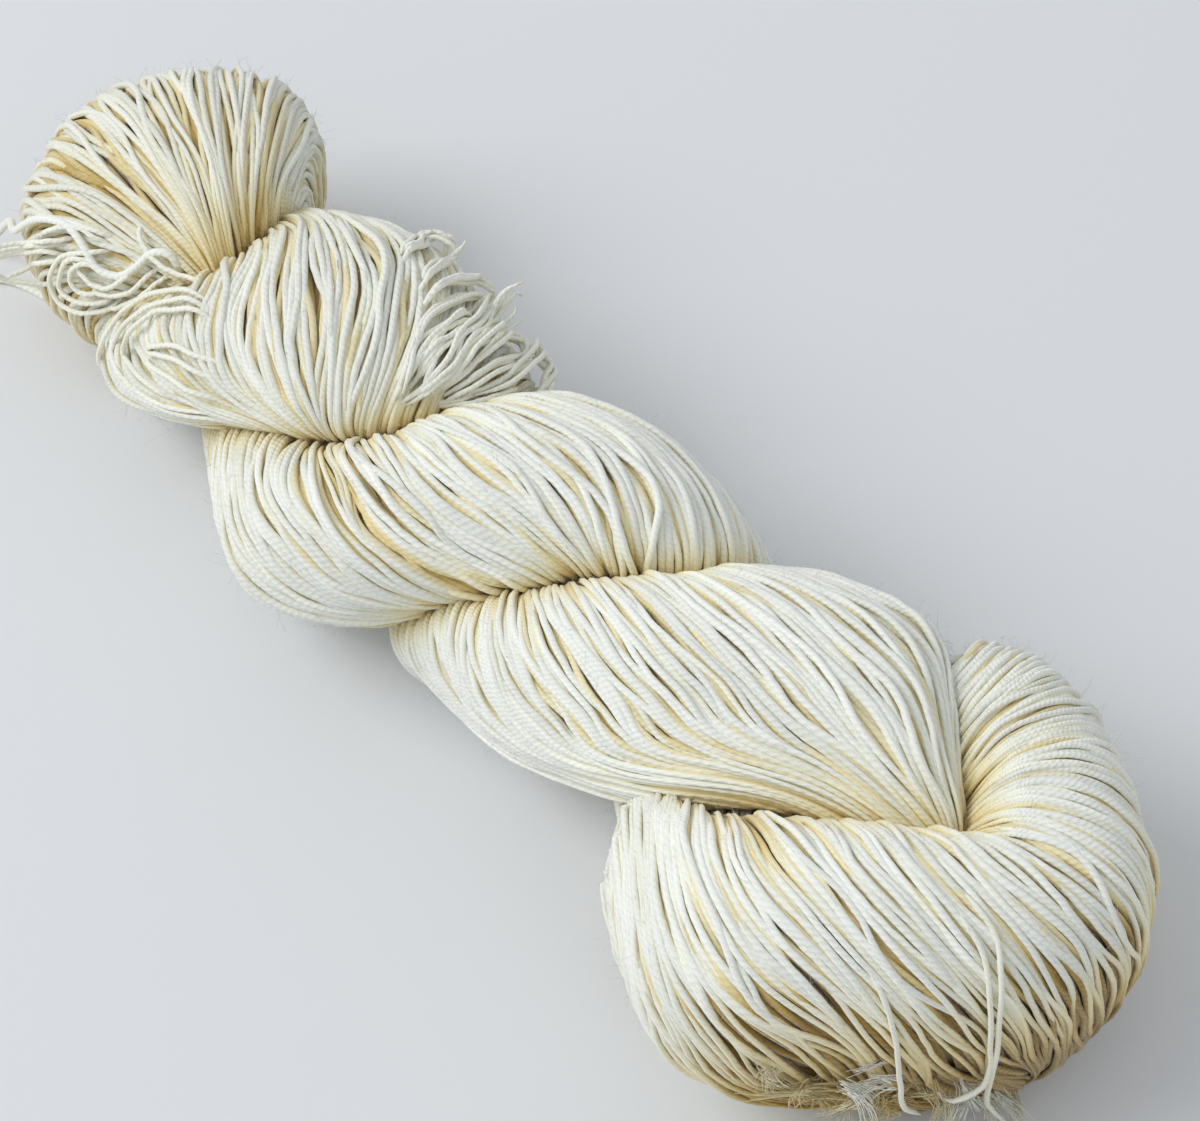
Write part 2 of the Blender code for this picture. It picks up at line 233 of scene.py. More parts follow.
def foldPoint(fold, fan, swing):
    # a point on a fold: fan goes round it (0 to 1), swing over it in degrees (0 is the rim)
    rows = folds[fold]["rows"]
    foot = folds[fold]["foot"]
    places = np.linspace(0, 1, len(rows["top"]))
    fan, swing = np.broadcast_arrays(fan, swing)
    crease = np.stack([along(places, rows["crease" + axis], fan) for axis in "XYZ"], -1)
    rim = np.stack([along(places, rows["rim" + axis], fan) for axis in "XYZ"], -1)
    top = along(places, rows["top"], fan)
    bend = np.sin(math.pi * np.clip(fan, 0, 1))
    footAt = np.stack([foot["x"] + foot["reach"] * bend,
                       foot["yFrom"] + (foot["yTo"] - foot["yFrom"]) * fan], -1)
    footZ = foot["z"] + foot["rise"] * bend

    angle = np.radians(swing)
    crown = crease[..., :2] + form["crownShare"] * (rim[..., :2] - crease[..., :2])
    out = np.abs(np.cos(angle))
    high = np.abs(np.sin(angle))
    startHigh = math.sin(math.radians(form["foldStart"]))
    startOut = -math.cos(math.radians(form["foldStart"]))

    overAt = crown + (rim[..., :2] - crown) * (out ** form["rimFullness"])[..., None]
    overZ = rim[..., 2] + (top - rim[..., 2]) * high ** form["rimFullness"]
    diveAt = crown + (crease[..., :2] - crown) * (out / startOut)[..., None]
    diveZ = crease[..., 2] + (top - crease[..., 2]) * (high - startHigh) / (1 - startHigh)
    underAt = footAt + (rim[..., :2] - footAt) * (out ** form["underFullness"])[..., None]
    underZ = rim[..., 2] + (footZ - rim[..., 2]) * high ** form["underFullness"]

    diving = swing > 90
    under = swing < 0
    flat = np.where(diving[..., None], diveAt, np.where(under[..., None], underAt, overAt))
    z = np.where(diving, diveZ, np.where(under, underZ, overZ))
    return np.concatenate([flat, z[..., None]], -1)


caps = {"span": 0.22, "bulge": 3.0, "sink": 0.62, "ease": 1.5}


def cappedFoldPoint(fold, fan, swing):
    # past its two ends a fold is closed by a rounded cap, which runs in to the crease
    fan, swing = np.broadcast_arrays(fan, swing)
    inside = np.clip(fan, 0, 1)
    points = foldPoint(fold, inside, swing)
    past = np.clip(np.abs(fan - inside) / caps["span"], 0, 1)[..., None]
    core = foldPoint(fold, inside, np.full(fan.shape, form["foldStart"]))
    core[..., 2] *= caps["sink"]
    outwards = np.array([-1.0 if fold == "near" else 1.0, 0, 0]) * caps["bulge"]
    points = points + (core - points) * past ** caps["ease"]
    return points + outwards * np.sin(math.pi * past) * np.sqrt(past)


def placed(points):
    return (np.asarray(points) - np.array(form["middle"])) * mm


# strands as tubes

yarn = {
    "slack": 1.75,         # thickness of a strand that lies loose
    "plyTwist": 3.0,       # length of one twist of its two plies
    "floor": 0.9,          # a loose strand's middle comes no lower than this
    "tiny": 1e-6,
    "fineness": 40,        # of a route, before it is cut into even steps
    "flankShade": 0.30,     # painted shade: how much yellower a strand is drawn on the side that faces inwards
}


def strandMesh(name, bundle, thickness, sides):
    # tubes along the strands; their UVs give millimetres along (U) and the way round (V)
    strands, normals, thick, shadeAndTint, toneAndShade = bundle
    curve = bpy.data.curves.new(name, "CURVE")
    curve.dimensions = "3D"
    curve.bevel_depth = thickness / 2 * mm
    curve.bevel_resolution = sides
    curve.use_fill_caps = True
    for points, share in zip(strands, thick):
        spline = curve.splines.new("POLY")
        spline.points.add(len(points) - 1)
        spline.points.foreach_set("co", np.pad(placed(points), ((0, 0), (0, 1))).ravel())
        spline.points.foreach_set("radius", share)
    maker = bpy.data.objects.new(name, curve)
    bpy.context.scene.collection.objects.link(maker)
    seen = maker.evaluated_get(bpy.context.evaluated_depsgraph_get())
    mesh = bpy.data.meshes.new_from_object(seen)
    bpy.data.objects.remove(maker)
    bpy.data.curves.remove(curve)
    mesh.name = name

    # the caps come first, from the last strand to the first, then the rings in order
    count, steps = thick.shape
    ring = 4 + 2 * sides
    capCount = 2 * ring * count
    owner = np.concatenate([np.repeat(np.arange(count)[::-1], 2 * ring),
                            np.repeat(np.arange(count), steps * ring)])
    spots = np.zeros(len(mesh.vertices) * 3, dtype=np.float32)
    mesh.vertices.foreach_get("co", spots)
    offsets = spots.reshape(-1, 3)[capCount:].reshape(count, steps, ring, 3)
    offsets = offsets - placed(strands)[:, :, None, :]
    offsets /= np.maximum(np.linalg.norm(offsets, axis=-1, keepdims=True), yarn["tiny"])
    # painted shade: the side of a strand that faces into the hank is drawn yellower
    inward = 0.5 - 0.5 * (offsets * normals[:, :, None, :]).sum(-1)
    ringShade = shadeAndTint[:, :, None] + yarn["flankShade"] * inward
    capShade = np.repeat(shadeAndTint[::-1][:, [-1, 0]].ravel(), ring) + yarn["flankShade"] / 2
    for label, values in (("shadeAndTint", np.concatenate([capShade, ringShade.ravel()])),
                          ("toneAndShade", toneAndShade[owner])):
        layer = mesh.attributes.new(label, "FLOAT", "POINT")
        layer.data.foreach_set("value", values.astype(np.float32))

    lengths = np.linalg.norm(np.diff(strands, axis=1), axis=2).sum(axis=1)
    corner = np.zeros(len(mesh.loops), dtype=np.int32)
    mesh.loops.foreach_get("vertex_index", corner)
    places = np.zeros(len(mesh.loops) * 2, dtype=np.float32)
    mesh.uv_layers[0].data.foreach_get("uv", places)
    places = places.reshape(-1, 2)
    places[:, 0] *= lengths[owner[corner]]
    mesh.uv_layers[0].data.foreach_set("uv", places.ravel())

    bm = bmesh.new()
    bm.from_mesh(mesh)
    bmesh.ops.remove_doubles(bm, verts=bm.verts, dist=yarn["tiny"])
    bm.to_mesh(mesh)
    bm.free()
    mesh.shade_smooth()
    return mesh


def asPiece(name, mesh, material):
    piece = bpy.data.objects.new(name, mesh)
    bpy.context.scene.collection.objects.link(piece)
    mesh.materials.clear()
    mesh.materials.append(material)
    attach(piece, "root")
    return piece


# finishes

finish = {
    # cream is the wool's own colour; the ochre and brown further along the ramp are painted shade
    "ramp": (
        (0.0, (0.93, 0.945, 0.90)), (0.14, (0.93, 0.93, 0.82)), (0.32, (0.93, 0.87, 0.62)),
        (0.55, (0.87, 0.73, 0.38)), (0.8, (0.61, 0.43, 0.12)), (1.0, (0.40, 0.25, 0.04)),
    ),
    "roughness": 0.9,
    "specular": 0.15,
    "sheen": 0.6,
    "sheenRoughness": 0.5,
    "twistBump": 0.35,
    "fibreBump": 0.3,
    "bumpStrength": 0.7,
    "bumpDistance": 0.0004,
    "fibreScale": 1.4,
    "fibreDetail": 3.0,
    "fibreAlong": 1.1,
    "fibreRound": 7.0,
    "plainBright": 0.91,
    "plyBright": 0.05,
    "fibreBright": 0.12,
    "toneAndShadeBright": 0.04,
}


def mathNode(nodes, links, operation, first, second=None, third=None):
    node = nodes.new("ShaderNodeMath")
    node.operation = operation
    for socket, value in zip(node.inputs, (first, second, third)):
        if isinstance(value, (int, float)):
            socket.default_value = value
        elif value is not None:
            links.new(value, socket)
    return node.outputs[0]


def yarnFinish(name):
    material = bpy.data.materials.new(name)
    material.use_nodes = True
    nodes = material.node_tree.nodes
    links = material.node_tree.links
    shader = nodes["Principled BSDF"]
    shader.inputs["Roughness"].default_value = finish["roughness"]
    shader.inputs["Specular IOR Level"].default_value = finish["specular"]
    shader.inputs["Sheen Weight"].default_value = finish["sheen"]
    shader.inputs["Sheen Roughness"].default_value = finish["sheenRoughness"]

    uv = nodes.new("ShaderNodeUVMap")
    uv.uv_map = "UVMap"
    split = nodes.new("ShaderNodeSeparateXYZ")
    links.new(uv.outputs["UV"], split.inputs[0])
    alongIt, roundIt = split.outputs[0], split.outputs[1]

    # two plies, twisted: the grooves between them run round the strand
    ply = mathNode(nodes, links, "MULTIPLY", alongIt, 4 * math.pi / yarn["plyTwist"])
    ply = mathNode(nodes, links, "MULTIPLY_ADD", roundIt, 4 * math.pi, ply)
    ply = mathNode(nodes, links, "SINE", ply)
    groove = mathNode(nodes, links, "MULTIPLY_ADD", ply, 0.5, 0.5)

    # fine fibres along the strand
    stretch = nodes.new("ShaderNodeCombineXYZ")
    fibreAlong = mathNode(nodes, links, "MULTIPLY", alongIt, finish["fibreAlong"])
    fibreRound = mathNode(nodes, links, "MULTIPLY_ADD", roundIt, finish["fibreRound"], ply)
    links.new(fibreAlong, stretch.inputs[0])
    links.new(fibreRound, stretch.inputs[1])
    fibre = nodes.new("ShaderNodeTexNoise")
    fibre.inputs["Scale"].default_value = finish["fibreScale"]
    fibre.inputs["Detail"].default_value = finish["fibreDetail"]
    links.new(stretch.outputs[0], fibre.inputs["Vector"])

    height = mathNode(nodes, links, "MULTIPLY", groove, finish["twistBump"])
    height = mathNode(nodes, links, "MULTIPLY_ADD", fibre.outputs[0], finish["fibreBump"], height)
    bump = nodes.new("ShaderNodeBump")
    bump.inputs["Strength"].default_value = finish["bumpStrength"]
    bump.inputs["Distance"].default_value = finish["bumpDistance"]
    links.new(height, bump.inputs["Height"])
    links.new(bump.outputs[0], shader.inputs["Normal"])

    # painted shade: cream outside, ochre and brown where strands lie deep, in creases and under the fat
    # end
    depth = nodes.new("ShaderNodeAttribute")
    depth.attribute_name = "shadeAndTint"
    ramp = nodes.new("ShaderNodeValToRGB")
    steps = finish["ramp"]
    ends = ramp.color_ramp.elements
    ends[0].color = (*steps[0][1], 1)
    ends[1].color = (*steps[-1][1], 1)
    for place, colour in steps[1:-1]:
        ends.new(place).color = (*colour, 1)
    links.new(depth.outputs["Fac"], ramp.inputs[0])

    toneAndShade = nodes.new("ShaderNodeAttribute")
    toneAndShade.attribute_name = "toneAndShade"
    # painted shade: a little darker in the grooves between the plies; fibres and strands also vary at
    # random
    bright = mathNode(nodes, links, "MULTIPLY_ADD", groove, finish["plyBright"], finish["plainBright"])
    bright = mathNode(nodes, links, "MULTIPLY_ADD", fibre.outputs[0], finish["fibreBright"], bright)
    bright = mathNode(nodes, links, "MULTIPLY_ADD", toneAndShade.outputs["Fac"], finish["toneAndShadeBright"], bright)
    mix = nodes.new("ShaderNodeVectorMath")
    mix.operation = "SCALE"
    links.new(ramp.outputs[0], mix.inputs[0])
    links.new(bright, mix.inputs["Scale"])
    links.new(mix.outputs[0], shader.inputs["Base Color"])
    return material


woolFinish = yarnFinish("undyedWool")

# the tie over the far fold, and a loose loop of the winding beside it

ties = {
    "overFan": (0.66, 0.67, 0.71, 0.78, 0.83, 0.825, 0.785, 0.755, 0.752, 0.755, 0.76, 0.76),
    "overSwing": (118, 112, 106, 97, 87, 77, 73, 66, 56, 45, 33, 20),
    "overLift": (-2.5, 2.6, 3.6, 3.4, 3.2, 2.8, 2.8, 2.6, 2.4, 2.4, 2.4, 2.6),
    "free": (
        (-146.5, -27.5, 15.0), (-150.5, -29.0, 7.5), (-154.0, -31.2, 2.4), (-157.2, -34.6, 0.9),
        (-157.4, -38.6, 0.9), (-154.0, -41.2, 0.9), (-150.0, -39.6, 0.9), (-147.0, -35.6, 0.9),
        (-143.0, -32.0, 0.9), (-137.5, -29.6, 0.9), (-132.5, -28.0, 0.9),
    ),
    "loop": (
        (-125.1, -13.7, 0.9), (-131.0, -15.6, 0.9), (-136.5, -16.5, 0.9), (-141.5, -17.5, 0.9),
        (-145.5, -20.0, 0.9), (-146.5, -23.5, 0.9), (-143.5, -25.8, 0.9), (-138.5, -25.2, 0.9),
        (-133.0, -23.0, 0.9), (-126.5, -21.6, 0.9),
    ),
    "step": 2.0,
    "sides": 2,
}


def evenSteps(points, count=None, step=None):
    # the same line in even steps
    points = np.asarray(points, dtype=float)
    reach = np.concatenate([[0], np.cumsum(np.linalg.norm(np.diff(points, axis=0), axis=1))])
    fine = np.linspace(0, reach[-1], yarn["fineness"] * len(points))
    line = np.stack([along(reach, points[:, k], fine) for k in range(3)], -1)
    length = np.concatenate([[0], np.cumsum(np.linalg.norm(np.diff(line, axis=0), axis=1))])
    count = count or int(round(length[-1] / step)) + 1
    places = np.linspace(0, length[-1], count)
    return np.stack([np.interp(places, length, line[:, k]) for k in range(3)], -1)


def liftedFoldPoint(fold, fan, swing, lift):
    # a fold's point, with the fold made larger by the lift: outwards at the rim, up at the top
    rows = folds[fold]["rows"]
    places = np.linspace(0, 1, len(rows["top"]))
    crease = np.array([along(places, rows["creaseX"], fan), along(places, rows["creaseY"], fan)])
    rim = np.array([along(places, rows["rimX"], fan), along(places, rows["rimY"], fan)])
    away = (rim - crease) / np.linalg.norm(rim - crease) * lift
    out = abs(math.cos(math.radians(swing)))
    high = abs(math.sin(math.radians(swing)))
    if swing > 90:
        startHigh = math.sin(math.radians(form["foldStart"]))
        startOut = -math.cos(math.radians(form["foldStart"]))
        away = away * form["crownShare"] * (1 - out / startOut)
        up = lift * (high - startHigh) / (1 - startHigh)
    else:
        crown = form["crownShare"]
        away = away * (crown + (1 - crown) * out ** form["rimFullness"])
        up = lift * high ** form["rimFullness"]
    return foldPoint(fold, fan, swing) + np.array([*away, up])


def plainBundle(strands, shadeAndTint=0.0, toneAndShade=0.0):
    # strands that lie free: all upright, of one thickness
    strands = np.asarray(strands, dtype=float)
    shape = strands.shape[:2]
    normals = np.broadcast_to(np.array([0.0, 0.0, 1.0]), strands.shape)
    return strands, normals, np.ones(shape), np.full(shape, shadeAndTint), np.full(shape[0], toneAndShade)


def makeCord(name, route, node):
    points = evenSteps(route, step=ties["step"])
    bundle = plainBundle(points[None])
    piece = asPiece(name, strandMesh(name, bundle, yarn["slack"], ties["sides"]), woolFinish)
    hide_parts(node)


over = [liftedFoldPoint("far", *spot)
        for spot in zip(ties["overFan"], ties["overSwing"], ties["overLift"])]
makeCord("tieStrand", [*over, *ties["free"]], "tie")
makeCord("looseLoop", ties["loop"], "tie_loop")
print("cords laid")

# how strands run across a ply, named by their turn halfway: their turns at five even stations

stations = (0, 0.25, 0.5, 0.75, 1)
flow = {
    "one": table("middle start quarter late end", (
        (-1.5, -1.5, -1.5, -1.5, -1.5), (-0.5, -0.45, -0.48, -0.5, -0.45),
        (0.10, 0.22, 0.16, 0.05, 0.16), (0.38, 0.48, 0.45, 0.30, 0.30),
        (0.54, 0.67, 0.60, 0.44, 0.36), (0.65, 0.80, 0.72, 0.56, 0.45),
        (0.73, 0.88, 0.82, 0.65, 0.56), (0.79, 0.95, 0.87, 0.74, 0.74),
        (0.87, 1.02, 0.95, 0.82, 0.84), (0.97, 1.12, 1.03, 0.94, 0.96),
        (1.05, 1.18, 1.11, 1.03, 1.02), (1.14, 1.26, 1.20, 1.10, 1.07),
        (1.24, 1.35, 1.29, 1.18, 1.11), (1.36, 1.46, 1.40, 1.29, 1.17),
        (1.47, 1.54, 1.50, 1.39, 1.26), (1.55, 1.60, 1.57, 1.49, 1.36),
        (1.65, 1.68, 1.66, 1.61, 1.50), (1.80, 1.80, 1.80, 1.78, 1.70),
        (2.20, 2.20, 2.20, 2.20, 2.15), (4.9, 4.9, 4.9, 4.9, 4.9),
    )),
    "two": table("middle start quarter late end", (
        (-1.5, -1.5, -1.5, -1.5, -1.5), (-0.5, -0.40, -0.45, -0.45, -0.35),
        (0.12, 0.30, 0.19, 0.22, 0.52), (0.41, 0.58, 0.46, 0.46, 0.66),
        (0.60, 0.85, 0.66, 0.60, 0.73), (0.76, 1.20, 0.91, 0.71, 0.79),
        (0.87, 1.42, 1.05, 0.80, 0.83), (1.00, 1.60, 1.22, 0.91, 0.86),
        (1.20, 1.77, 1.42, 1.04, 0.89), (1.40, 1.90, 1.61, 1.17, 0.93),
        (1.60, 2.00, 1.77, 1.35, 1.00), (1.80, 2.10, 1.92, 1.58, 1.12),
        (2.00, 2.22, 2.08, 1.80, 1.27), (2.20, 2.36, 2.26, 2.03, 1.50),
        (2.50, 2.58, 2.53, 2.40, 2.05), (3.00, 3.05, 3.02, 2.97, 2.80),
        (3.60, 3.72, 3.65, 3.60, 3.70), (3.90, 4.05, 3.94, 3.95, 4.25),
        (4.08, 4.24, 4.09, 4.16, 4.60), (4.26, 4.58, 4.37, 4.31, 4.83),
        (4.42, 4.69, 4.53, 4.45, 4.95), (4.61, 4.80, 4.68, 4.60, 5.07),
        (4.77, 4.91, 4.83, 4.76, 5.17), (4.88, 5.01, 4.94, 4.88, 5.25),
        (5.05, 5.16, 5.10, 5.03, 5.33), (5.17, 5.26, 5.21, 5.17, 5.38),
        (5.30, 5.40, 5.34, 5.30, 5.42), (5.44, 5.51, 5.48, 5.44, 5.46),
        (5.57, 5.62, 5.59, 5.56, 5.49), (5.70, 5.72, 5.71, 5.67, 5.53),
        (5.85, 5.86, 5.86, 5.80, 5.60), (6.10, 6.10, 6.10, 6.06, 5.90),
        (6.50, 6.50, 6.50, 6.48, 6.40), (7.4, 7.4, 7.4, 7.4, 7.4),
    )),
}


def smoothStep(low, high, values):
    t = np.clip((values - low) / (high - low), 0, 1)
    return t * t * (3 - 2 * t)


plyLooks = {
    "creaseShade": 0.5,
    "creaseFrom": (0.2, 0.85),   # how near a crease the painted shade comes in
}


def plySheet(ply):
    def path(middles, share):
        rows = flow[ply]
        known = [read(rows, "middle", name, middles) for name in ("start", "quarter")]
        known += [middles]
        known += [read(rows, "middle", name, middles) for name in ("late", "end")]
        weights = [along(stations, row, share) for row in np.eye(len(stations))]
        return sum(k * w for k, w in zip(known, weights)), np.broadcast_to(share, middles.shape)

    def tint(turn, across):
        # painted shade: yellower towards the creases on either side
        valley = 1 - plyHump(across) ** form["roundness"]
        return plyLooks["creaseShade"] * smoothStep(*plyLooks["creaseFrom"], valley)

    return {
        "name": "ply" + ply.title(), "range": plyTurns[ply], "path": path, "tint": tint,
        "surface": lambda turn, across: plyPoint(ply, turn, across),
        "nudge": (0.01, 0.002), "way": -1, "ends": 0.012, "bunching": 0.5, "length": 1.0,
        "gaping": lambda turn, across: np.zeros(across.shape),
        "mess": lambda turn, across: np.ones(across.shape),
    }


foldLooks = {
    "swirlMost": 1.6,
    # painted shade: yellower in a fold's crease and browner under its rim
    "creaseShade": 0.5,
    "creaseSwing": (95, 150),
    "underShade": 0.35,
    "underSwing": (42, -20),
    # painted shade under the fat end: how much browner it is drawn low down, at its two sides and
    # between them
    "lowShade": 0.4,
    "lowSwing": (15, -30),
    "sideShare": 0.3,
    "middleShare": 1.6,
    "middleFan": ((0.14, 0.28), (0.85, 0.6)),
    # where strands part: how far, over which swing, and from where to where round the fold
    "farGaping": 0.22,
    "farGapes": ((125, 85), (0.3, 0.45), (1.0, 0.9)),
    "nearGaping": 0.25,
    "nearGapes": ((135, 105), (0.72, 0.84)),
    "underGapes": ((62, 20), (0.10, 0.24), (0.80, 0.66)),
    "nearMess": 0.5,
    "farMess": ((0.1, 0.3), (1.0, 0.9)),
}


def foldShare(fan, swing, over, *rounds):
    share = smoothStep(*over, swing)
    for edge in rounds:
        share = share * smoothStep(*edge, fan)
    return share


def foldSheet(fold):
    def path(fans, share):
        swing = form["foldStart"] + (form["foldEnd"] - form["foldStart"]) * share
        swirl = read(folds[fold]["swirl"], "fan", "drift", fans)
        fan = fans + swirl * np.clip((90 - swing) / 90, 0, foldLooks["swirlMost"])
        return fan, np.broadcast_to(swing, fan.shape)

    def tint(fan, swing):
        # painted shade: yellower in the crease, browner under the rim and low under the fat end
        crease = smoothStep(*foldLooks["creaseSwing"], swing)
        under = smoothStep(*foldLooks["underSwing"], swing)
        if fold == "near":
            first, last = foldLooks["middleFan"]
            under = under + foldLooks["lowShade"] * smoothStep(*foldLooks["lowSwing"], swing)
            middle = smoothStep(*first, fan) * smoothStep(*last, fan)
            under = under * (foldLooks["sideShare"] + foldLooks["middleShare"] * middle)
        return foldLooks["creaseShade"] * crease + foldLooks["underShade"] * under

    def gaping(fan, swing):
        # under the fat end the strands part into bundles, and a little less over either end
        if fold == "far":
            return foldLooks["farGaping"] * foldShare(fan, swing, *foldLooks["farGapes"])
        under = foldShare(fan, swing, *foldLooks["underGapes"])
        over = foldShare(fan, swing, *foldLooks["nearGapes"])
        return np.maximum(under, foldLooks["nearGaping"] * over)

    def mess(fan, swing):
        # over the far end the strands lie less evenly
        if fold == "near":
            return foldLooks["nearMess"] + (1 - foldLooks["nearMess"]) * gaping(fan, swing)
        first, last = foldLooks["farMess"]
        return 1 + smoothStep(*first, fan) * smoothStep(*last, fan)

    return {
        "name": fold + "Fold", "range": folds[fold]["reach"], "path": path, "tint": tint,
        "surface": lambda fan, swing: cappedFoldPoint(fold, fan, swing),
        "nudge": (0.004, 1.0), "way": 1, "ends": 0.0, "bunching": 0.0, "length": 1.45,
        "gaping": gaping, "mess": mess,
    }


# the winding: layers of strands over each ply's back and each fold

# a layer's tint is painted shade: the deeper layers are drawn yellower
layers = {
    "outer": {"depth": 0.75, "pitch": 1.37, "thickness": 1.6, "sides": 1, "points": 44, "clump": 0.5,
              "stray": 0.28, "kink": 0.05, "uneven": 0.26, "tint": 0.0, "raised": 0.08, "seed": 3,
              "gape": 1.25},
    "middle": {"depth": 1.45, "pitch": 1.6, "thickness": 1.85, "sides": 0, "points": 26, "clump": 0.5,
               "stray": 0.4, "kink": 0.0, "uneven": 0.25, "tint": 0.35, "raised": 0.0, "seed": 17,
               "gape": 0.0},
    "inner": {"depth": 2.4, "pitch": 2.1, "thickness": 2.3, "sides": 0, "points": 18, "clump": 0.5,
              "stray": 0.4, "kink": 0.0, "uneven": 0.25, "tint": 0.5, "raised": 0.0, "seed": 29,
              "gape": 0.0},
}
winding = {
    "grid": 260,
    "widest": 85,          # the room for a strand is this percentile of the gaps along it
    "crowdLeast": 0.05,
    "clumpAcross": 6.5,
    "clumpAlong": 38.0,
    "lumpAcross": 4.5,
    "strayAlong": 42.0,
    "kinkAlong": 7.0,
    "pile": 2.6,           # how deep strands heap up where they crowd together
    # painted shade: strands that lie sunk below their layer are drawn yellower
    "sunkShade": 0.22,
    "sunkMost": 1.5,
    "farTint": 0.07,       # the far half is a little yellower
    "farShade": 2.4,       # and a little darker: painted shade, as if less lit
    "bundle": 8.0,         # how wide the bundles are where the winding parts
    # grooves between two bundles: the strand each follows, its start and end along it, its opening
    "partings": {
        "plyOne": ((0.757, 0.02, 0.98, 0.8),),
        "nearFold": ((0.264, 0.04, 0.32, 1.0),),
        "farFold": ((0.17, 0.05, 0.45, 0.45), (0.38, 0.0, 0.5, 0.4), (0.63, 0.1, 0.5, 0.3)),
    },
    "partingWidth": 2.0,
    "partingFade": 0.1,
    "partingEdge": 2,
    "partingDepth": 1.5,
    # painted shade in the grooves where the winding parts
    "partingShade": 0.4,
    "gapingShade": 0.55,    # painted shade on the layers that show through where the winding parts
    "gapingOuterShade": 0.14,
    "gapingThin": 0.2,
    "startSpread": 0.12,
    "strayUp": 0.16,
    "raisedSide": 1.2,     # a few strands lie on top of the others
    "raisedUp": 0.7,
    "thickSpread": 0.07,
    "thickRange": (0.8, 1.2),
    "crowdThick": (0.45, 0.6),
    "crowdThin": 0.5,
    "floorShare": 0.6,     # a strand's middle comes no lower than this share of its thickness
    "farHalf": (30, -110),
}


def sharedDrift(rng, across, alongIt, waves=12):
    # a smooth random drift that neighbouring strands share, about 1 high
    ways = rng.choice([-1, 1], waves)
    acrossRate = ways * rng.uniform(0.45, 1.3, waves) / across
    alongRate = rng.uniform(0.2, 1.2, waves) / alongIt
    phases = rng.uniform(0, 2 * math.pi, waves)

    def drift(a, b):
        total = 0.0
        for k in range(waves):
            total = total + np.sin(2 * math.pi * (a * acrossRate[k] + b * alongRate[k]) + phases[k])
        return total / math.sqrt(waves / 2)

    return drift


def ownDrift(rng, b, wavelength, waves=3):
    # a smooth random drift of each strand's own
    total = np.zeros(b.shape)
    for k in range(waves):
        rate = rng.uniform(0.4, 1.4, (len(b), 1)) / wavelength
        phase = rng.uniform(0, 2 * math.pi, (len(b), 1))
        total += np.sin(2 * math.pi * b * rate + phase)
    return total / math.sqrt(waves / 2)


def sheetNormals(sheet, a, b):
    stepA, stepB = sheet["nudge"]
    alongA = sheet["surface"](a + stepA, b) - sheet["surface"](a - stepA, b)
    alongB = sheet["surface"](a, b + stepB) - sheet["surface"](a, b - stepB)
    normal = np.cross(alongA, alongB) * sheet["way"]
    return normal / np.maximum(np.linalg.norm(normal, axis=-1, keepdims=True), yarn["tiny"])


def sheetGrid(sheet, share):
    # true widths and lengths, from a fine grid of the sheet
    names = np.linspace(*sheet["range"], winding["grid"])
    fine = np.broadcast_to(names[:, None], (len(names), len(share)))
    points = sheet["surface"](*sheet["path"](fine, share))
    step = np.diff(points, axis=0)
    way = np.gradient(points, axis=1)[:-1]
    way /= np.maximum(np.linalg.norm(way, axis=-1, keepdims=True), yarn["tiny"])
    step = step - (step * way).sum(-1, keepdims=True) * way
    gap = np.linalg.norm(step, axis=-1)
    widest = np.maximum(np.percentile(gap, winding["widest"], axis=1), yarn["tiny"])
    lengths = np.linalg.norm(np.diff(points, axis=1), axis=-1)
    lengths = np.pad(np.cumsum(lengths, axis=1), ((0, 0), (1, 0)))
    return names, np.concatenate([[0], np.cumsum(widest)]), gap / widest[:, None], lengths


